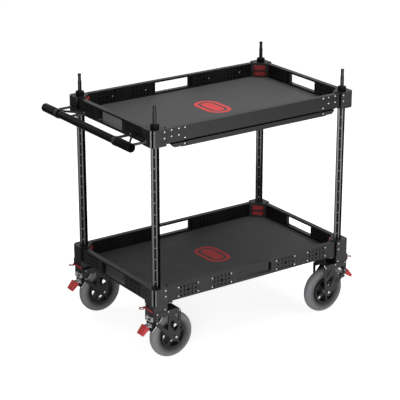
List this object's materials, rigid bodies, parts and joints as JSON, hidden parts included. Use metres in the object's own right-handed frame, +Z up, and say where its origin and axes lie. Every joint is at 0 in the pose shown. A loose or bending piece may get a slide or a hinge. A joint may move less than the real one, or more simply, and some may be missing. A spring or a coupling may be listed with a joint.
{
  "type": "camera cart",
  "caption": "Two-tray camera cart on four swivel casters with brakes, four grooved posts with spigots, red clamp levers, a push handle and a pull-out shelf.",
  "frame": {"origin": "On the ground under the middle of the whole cart, half way between the handle end and the far brake pedals and between the two handle ends.", "axes": "+X along the trays away from the handle, +Y from the plain front towards the back, +Z up."},
  "size_m": [1.2138, 0.684, 1.1124],
  "materials": {
    "black_anodised": "satin",
    "black_casting": "matte",
    "floor_sheet": "matte",
    "post_extrusion": "satin",
    "dark_steel": "satin",
    "grip": "matte",
    "red": "satin",
    "tyre": "matte",
    "hub": "matte"
  },
  "bodies": {
    "frame": {"lower_floor": "floor_sheet", "lower_rail_front": "black_anodised", "lower_rail_back": "black_anodised", "lower_rail_left": "black_anodised", "lower_rail_right": "black_anodised", "lower_corner_front_left": "black_casting", "lower_corner_front_right": "black_casting", "lower_corner_back_left": "black_casting", "lower_corner_back_right": "black_casting", "post_front_left": "post_extrusion", "post_front_right": "post_extrusion", "post_back_left": "post_extrusion", "post_back_right": "post_extrusion", "spigot_front_left": "dark_steel", "spigot_front_right": "dark_steel", "spigot_back_left": "dark_steel", "spigot_back_right": "dark_steel"},
    "top_tray": {"top_floor": "floor_sheet", "top_rail_front": "black_anodised", "top_rail_back": "black_anodised", "top_rail_left": "black_anodised", "top_rail_right": "black_anodised", "top_corner_front_left": "black_casting", "top_corner_front_right": "black_casting", "top_corner_back_left": "black_casting", "top_corner_back_right": "black_casting", "handle_bar": "grip", "handle_arm_front": "black_casting", "handle_arm_back": "black_casting", "shelf_runners": "dark_steel"},
    "shelf": {"shelf_tray": "black_anodised"},
    "top_levers_front_left_body": {"top_levers_front_left": "red"},
    "top_levers_front_right_body": {"top_levers_front_right": "red"},
    "top_levers_back_left_body": {"top_levers_back_left": "red"},
    "top_levers_back_right_body": {"top_levers_back_right": "red"},
    "lower_levers_front_left_body": {"lower_levers_front_left": "red"},
    "lower_levers_front_right_body": {"lower_levers_front_right": "red"},
    "lower_levers_back_left_body": {"lower_levers_back_left": "red"},
    "lower_levers_back_right_body": {"lower_levers_back_right": "red"},
    "caster_front_left": {"fork_front_left": "dark_steel"},
    "wheel_front_left": {"tyre_front_left": "tyre", "hub_front_left": "hub"},
    "brake_front_left": {"brake_pedal_front_left": "red"},
    "pull_front_left": {"release_pull_front_left": "red"},
    "caster_front_right": {"fork_front_right": "dark_steel"},
    "wheel_front_right": {"tyre_front_right": "tyre", "hub_front_right": "hub"},
    "brake_front_right": {"brake_pedal_front_right": "red"},
    "pull_front_right": {"release_pull_front_right": "red"},
    "caster_back_left": {"fork_back_left": "dark_steel"},
    "wheel_back_left": {"tyre_back_left": "tyre", "hub_back_left": "hub"},
    "brake_back_left": {"brake_pedal_back_left": "red"},
    "pull_back_left": {"release_pull_back_left": "red"},
    "caster_back_right": {"fork_back_right": "dark_steel"},
    "wheel_back_right": {"tyre_back_right": "tyre", "hub_back_right": "hub"},
    "brake_back_right": {"brake_pedal_back_right": "red"},
    "pull_back_right": {"release_pull_back_right": "red"}
  },
  "joints": [
    {"name": "top_tray_height", "type": "slide", "parent": "frame", "child": "top_tray", "axis": [0, 0, 1], "range_m": [-0.56, 0]},
    {"name": "shelf_slide", "type": "slide", "parent": "top_tray", "child": "shelf", "axis": [0, -1, 0], "range_m": [0, 0.35]},
    {"name": "top_levers_front_left_swing", "type": "hinge", "parent": "top_tray", "child": "top_levers_front_left_body", "pos_m": [-0.40052, -0.28514, 0.9875], "axis": [0, 0, -1], "range_deg": [0, 100]},
    {"name": "top_levers_front_right_swing", "type": "hinge", "parent": "top_tray", "child": "top_levers_front_right_body", "pos_m": [0.51526, -0.24724, 0.9875], "axis": [0, 0, -1], "range_deg": [0, 100]},
    {"name": "top_levers_back_left_swing", "type": "hinge", "parent": "top_tray", "child": "top_levers_back_left_body", "pos_m": [-0.43842, 0.24724, 0.9875], "axis": [0, 0, -1], "range_deg": [0, 100]},
    {"name": "top_levers_back_right_swing", "type": "hinge", "parent": "top_tray", "child": "top_levers_back_right_body", "pos_m": [0.47736, 0.28514, 0.9875], "axis": [0, 0, -1], "range_deg": [0, 100]},
    {"name": "lower_levers_front_left_swing", "type": "hinge", "parent": "frame", "child": "lower_levers_front_left_body", "pos_m": [-0.40052, -0.28514, 0.3031], "axis": [0, 0, -1], "range_deg": [0, 100]},
    {"name": "lower_levers_front_right_swing", "type": "hinge", "parent": "frame", "child": "lower_levers_front_right_body", "pos_m": [0.51526, -0.24724, 0.3031], "axis": [0, 0, -1], "range_deg": [0, 100]},
    {"name": "lower_levers_back_left_swing", "type": "hinge", "parent": "frame", "child": "lower_levers_back_left_body", "pos_m": [-0.43842, 0.24724, 0.3031], "axis": [0, 0, -1], "range_deg": [0, 100]},
    {"name": "lower_levers_back_right_swing", "type": "hinge", "parent": "frame", "child": "lower_levers_back_right_body", "pos_m": [0.47736, 0.28514, 0.3031], "axis": [0, 0, -1], "range_deg": [0, 100]},
    {"name": "caster_swivel_front_left", "type": "hinge", "parent": "frame", "child": "caster_front_left", "pos_m": [-0.44408, -0.2868, 0.232], "axis": [0, 0, 1], "continuous": true},
    {"name": "wheel_roll_front_left", "type": "hinge", "parent": "caster_front_left", "child": "wheel_front_left", "pos_m": [-0.37238, -0.2868, 0.1016], "axis": [0, 1, 0], "continuous": true},
    {"name": "brake_press_front_left", "type": "hinge", "parent": "caster_front_left", "child": "brake_front_left", "pos_m": [-0.47408, -0.2868, 0.165], "axis": [0, -1, 0], "range_deg": [0, 18]},
    {"name": "release_pull_out_front_left", "type": "slide", "parent": "frame", "child": "pull_front_left", "axis": [-1, 0, 0], "range_m": [0, 0.006], "stiffness_N_per_m": 300},
    {"name": "caster_swivel_front_right", "type": "hinge", "parent": "frame", "child": "caster_front_right", "pos_m": [0.52092, -0.2868, 0.232], "axis": [0, 0, 1], "continuous": true},
    {"name": "wheel_roll_front_right", "type": "hinge", "parent": "caster_front_right", "child": "wheel_front_right", "pos_m": [0.44922, -0.2868, 0.1016], "axis": [0, 1, 0], "continuous": true},
    {"name": "brake_press_front_right", "type": "hinge", "parent": "caster_front_right", "child": "brake_front_right", "pos_m": [0.55092, -0.2868, 0.165], "axis": [0, 1, 0], "range_deg": [0, 18]},
    {"name": "release_pull_out_front_right", "type": "slide", "parent": "frame", "child": "pull_front_right", "axis": [1, 0, 0], "range_m": [0, 0.006], "stiffness_N_per_m": 300},
    {"name": "caster_swivel_back_left", "type": "hinge", "parent": "frame", "child": "caster_back_left", "pos_m": [-0.44408, 0.2868, 0.232], "axis": [0, 0, 1], "continuous": true},
    {"name": "wheel_roll_back_left", "type": "hinge", "parent": "caster_back_left", "child": "wheel_back_left", "pos_m": [-0.37238, 0.2868, 0.1016], "axis": [0, 1, 0], "continuous": true},
    {"name": "brake_press_back_left", "type": "hinge", "parent": "caster_back_left", "child": "brake_back_left", "pos_m": [-0.47408, 0.2868, 0.165], "axis": [0, -1, 0], "range_deg": [0, 18]},
    {"name": "release_pull_out_back_left", "type": "slide", "parent": "frame", "child": "pull_back_left", "axis": [-1, 0, 0], "range_m": [0, 0.006], "stiffness_N_per_m": 300},
    {"name": "caster_swivel_back_right", "type": "hinge", "parent": "frame", "child": "caster_back_right", "pos_m": [0.52092, 0.2868, 0.232], "axis": [0, 0, 1], "continuous": true},
    {"name": "wheel_roll_back_right", "type": "hinge", "parent": "caster_back_right", "child": "wheel_back_right", "pos_m": [0.44922, 0.2868, 0.1016], "axis": [0, 1, 0], "continuous": true},
    {"name": "brake_press_back_right", "type": "hinge", "parent": "caster_back_right", "child": "brake_back_right", "pos_m": [0.55092, 0.2868, 0.165], "axis": [0, 1, 0], "range_deg": [0, 18]},
    {"name": "release_pull_out_back_right", "type": "slide", "parent": "frame", "child": "pull_back_right", "axis": [1, 0, 0], "range_m": [0, 0.006], "stiffness_N_per_m": 300}
  ]
}
